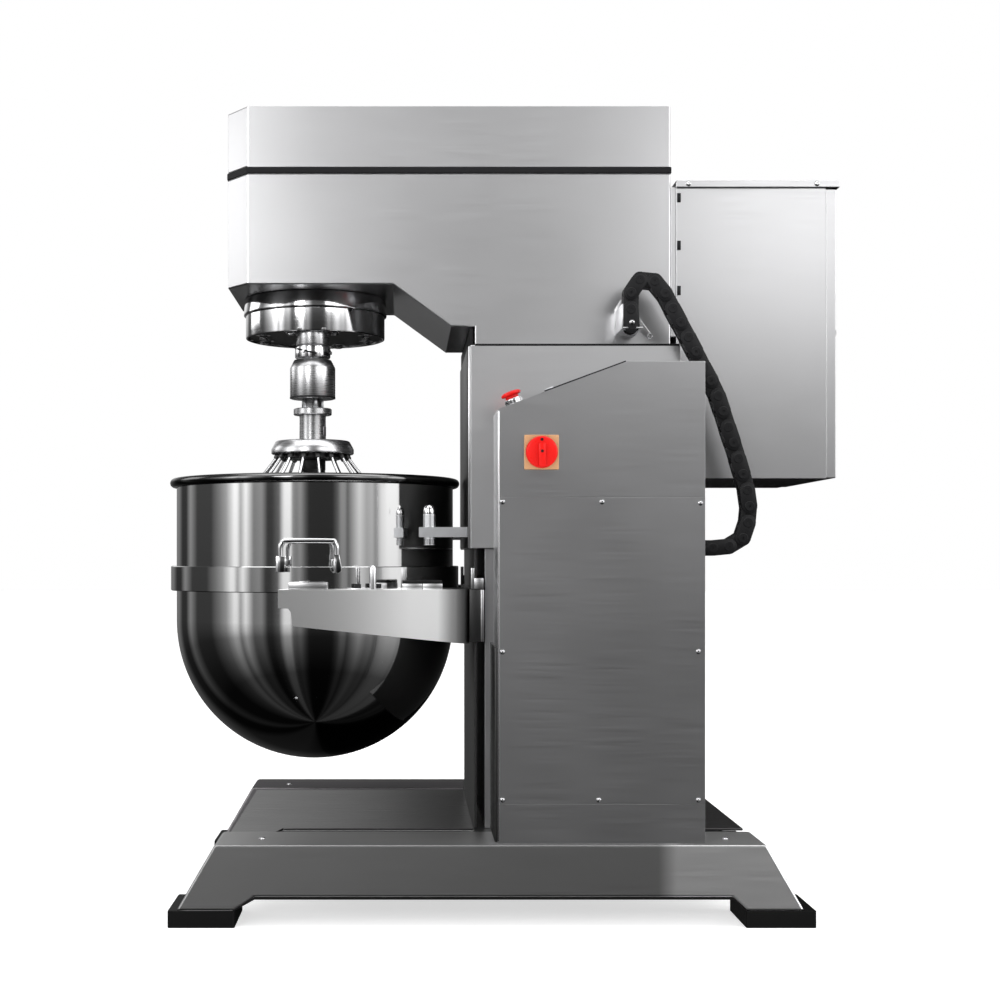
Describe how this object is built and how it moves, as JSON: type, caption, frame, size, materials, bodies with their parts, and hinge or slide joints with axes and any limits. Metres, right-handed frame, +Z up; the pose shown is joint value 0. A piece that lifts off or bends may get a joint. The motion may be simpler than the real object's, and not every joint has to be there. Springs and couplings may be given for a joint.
{
  "type": "floor-standing planetary mixer",
  "caption": "Floor-standing planetary food mixer: lifting head with planetary whisk drive, fixed round-bottomed bowl on a fork, side control cabinet and rear electrical cabinet.",
  "frame": {"origin": "on the floor, at the middle of the box around the whole machine", "axes": "+Z up; +X from the bowl to the rear cabinet; -Y towards the side with the control cabinet"},
  "size_m": [1.391, 0.9041, 1.62],
  "materials": {
    "brushed_stainless": "brushed, horizontal grain",
    "polished_stainless": "mirror polished stainless",
    "satin_casting": "satin, bead blasted",
    "machined_steel": "machined",
    "base_gray": "dark grey satin coating",
    "black_rubber": "matt rubber",
    "black_plastic": "matt glass-filled nylon",
    "red_plastic": "gloss",
    "amber_plastic": "matt",
    "bronze": "machined bronze",
    "motor_gray": "grey machine paint"
  },
  "bodies": {
    "frame": {"base_rail_near": "base_gray", "base_rail_far": "base_gray", "foot_front_near": "black_rubber", "foot_front_far": "black_rubber", "foot_rear_near": "black_rubber", "foot_rear_far": "black_rubber", "base_pan": "base_gray", "mast": "motor_gray", "column_cover": "brushed_stainless", "column_front_plate": "base_gray", "lift_gearmotor": "motor_gray", "bowl": "polished_stainless", "bowl_band": "polished_stainless", "bowl_handle_near": "polished_stainless", "bowl_handle_far": "polished_stainless", "bowl_fork": "satin_casting", "side_cabinet_shell": "brushed_stainless", "service_cover": "brushed_stainless", "main_switch_plate": "amber_plastic", "estop_collar": "black_plastic", "control_panel": "black_plastic", "carrier_bracket_cabinet": "brushed_stainless", "cable_carrier": "black_plastic"},
    "head": {"lift_carriage": "machined_steel", "lift_nut": "bronze", "head_shell": "brushed_stainless", "head_gasket": "black_rubber", "head_lid": "brushed_stainless", "column_sleeve": "brushed_stainless", "ring_gear": "machined_steel", "gear_cover": "satin_casting", "main_bearing": "machined_steel", "drive_plate": "machined_steel", "main_motor": "motor_gray", "drive_belt": "black_rubber", "hold_down_near": "satin_casting", "hold_down_far": "satin_casting", "head_rear_frame": "brushed_stainless", "rear_cabinet_shell": "brushed_stainless", "rear_cabinet_cap": "brushed_stainless", "inverter": "motor_gray", "carrier_bracket_head": "brushed_stainless"},
    "planetary_drum": {"planet_drum": "polished_stainless", "planet_bearing": "machined_steel", "main_shaft": "machined_steel", "main_pulley": "satin_casting"},
    "tool": {"planet_shaft": "machined_steel", "planet_pinion": "machined_steel", "whisk": "polished_stainless"},
    "lock_ring": {"lock_collar": "polished_stainless"},
    "release_sleeve": {"coupling_sleeve": "polished_stainless"},
    "motor_rotor": {"motor_pulley": "satin_casting"},
    "screw": {"lift_screw": "machined_steel"},
    "switch_knob": {"main_switch_knob": "red_plastic"},
    "emergency_button": {"estop_button": "red_plastic"},
    "start": {"start_button": "satin_casting"},
    "rocker": {"lift_rocker": "satin_casting"},
    "speed": {"speed_knob": "black_plastic"},
    "door": {"rear_cabinet_door": "brushed_stainless"},
    "latch": {"door_latch": "black_plastic"}
  },
  "joints": [
    {"name": "head_lift", "type": "slide", "parent": "frame", "child": "head", "axis": [0, 0, 1], "range_m": [0, 0.36], "deforming": ["cable_carrier"]},
    {"name": "drum_spin", "type": "hinge", "parent": "head", "child": "planetary_drum", "pos_m": [-0.383, 0, 1.2], "axis": [0, 0, 1], "continuous": true},
    {"name": "tool_spin", "type": "hinge", "parent": "planetary_drum", "child": "tool", "pos_m": [-0.383, -0.105, 1.2], "axis": [0, 0, 1], "continuous": true},
    {"name": "lock_ring_turn", "type": "hinge", "parent": "tool", "child": "lock_ring", "pos_m": [-0.383, -0.105, 1.13], "axis": [0, 0, 1], "range_deg": [-1, 61]},
    {"name": "sleeve_rise", "type": "slide", "parent": "tool", "child": "release_sleeve", "axis": [0, 0, 1], "range_m": [0, 0.0029]},
    {"name": "motor_spin", "type": "hinge", "parent": "head", "child": "motor_rotor", "pos_m": [-0.121, 0, 1.4], "axis": [0, 0, 1], "continuous": true},
    {"name": "screw_turn", "type": "hinge", "parent": "frame", "child": "screw", "pos_m": [0.279, 0, 0.5], "axis": [0, 0, 1], "range_deg": [-1, 3241]},
    {"name": "main_switch_turn", "type": "hinge", "parent": "frame", "child": "switch_knob", "pos_m": [0.07, -0.4341, 0.9], "axis": [0, -1, 0], "range_deg": [0, 90]},
    {"name": "estop_press", "type": "slide", "parent": "frame", "child": "emergency_button", "axis": [0.3462, 0, -0.9382], "range_m": [0, 0.0045], "stiffness_N_per_m": 3000},
    {"name": "start_press", "type": "slide", "parent": "frame", "child": "start", "axis": [0.3462, 0, -0.9382], "range_m": [0, 0.0015], "stiffness_N_per_m": 1500},
    {"name": "rocker_tilt", "type": "hinge", "parent": "frame", "child": "rocker", "pos_m": [0.10394, -0.325, 1.02724], "axis": [0, 1, 0], "range_deg": [-6, 6], "stiffness_Nm_per_rad": 0.5},
    {"name": "speed_turn", "type": "hinge", "parent": "frame", "child": "speed", "pos_m": [0.16492, -0.3575, 1.04975], "axis": [-0.3462, 0, 0.9382], "range_deg": [0, 270]},
    {"name": "door_swing", "type": "hinge", "parent": "head", "child": "door", "pos_m": [0.679, 0.2133, 1.15], "axis": [0, 0, 1], "range_deg": [0, 110]},
    {"name": "latch_turn", "type": "hinge", "parent": "door", "child": "latch", "pos_m": [0.6893, -0.185, 1.16], "axis": [1, 0, 0], "range_deg": [0, 90]}
  ],
  "couplings": [
    {"joint": "tool_spin", "follows": "drum_spin", "ratio": -3.5},
    {"joint": "motor_spin", "follows": "drum_spin", "ratio": 3.3333},
    {"joint": "screw_turn", "follows": "head_lift", "rad_per_m": 157.08},
    {"joint": "lock_ring_turn", "follows": "sleeve_rise", "rad_per_m": 361.1}
  ]
}
